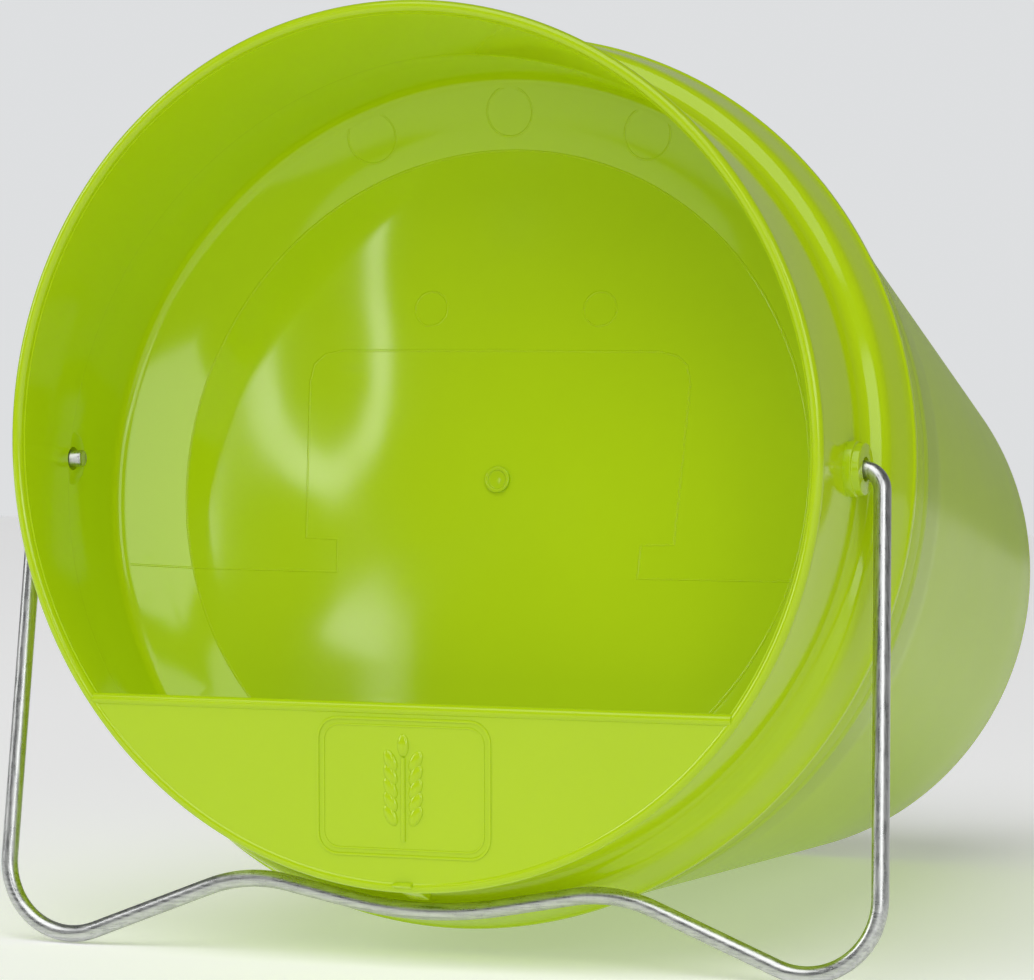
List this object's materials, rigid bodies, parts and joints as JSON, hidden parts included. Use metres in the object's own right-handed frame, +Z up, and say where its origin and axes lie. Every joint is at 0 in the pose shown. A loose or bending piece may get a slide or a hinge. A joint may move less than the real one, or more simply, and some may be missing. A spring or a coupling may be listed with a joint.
{
  "type": "gravity poultry feeder",
  "caption": "Tapered tub on its side with a round hooded feeder head clipped over its mouth, a feed trough behind a low dam, and a wire bail that is both stand and handle.",
  "frame": {"origin": "middle of the feeder's bounding box, on the surface it stands on", "axes": "+Z up; -Y out of the feeding mouth, +Y towards the base of the tub; X across, square to the tub's axis"},
  "size_m": [0.277, 0.3474, 0.2756],
  "materials": {
    "lime_plastic": "glossy moulded polypropylene",
    "galvanised_wire": "bright galvanised, drawn"
  },
  "bodies": {
    "tub": {"tub": "lime_plastic"},
    "head": {"feeder_head": "lime_plastic"},
    "bail": {"bail": "galvanised_wire"}
  },
  "joints": [
    {"name": "head_pull", "type": "slide", "parent": "tub", "child": "head", "axis": [0, -0.9863, 0.165], "range_m": [0, 0.08]},
    {"name": "bail_swing", "type": "hinge", "parent": "head", "child": "bail", "pos_m": [0, -0.14003, 0.14351], "axis": [-1, 0, 0], "range_deg": [0, 140]}
  ]
}
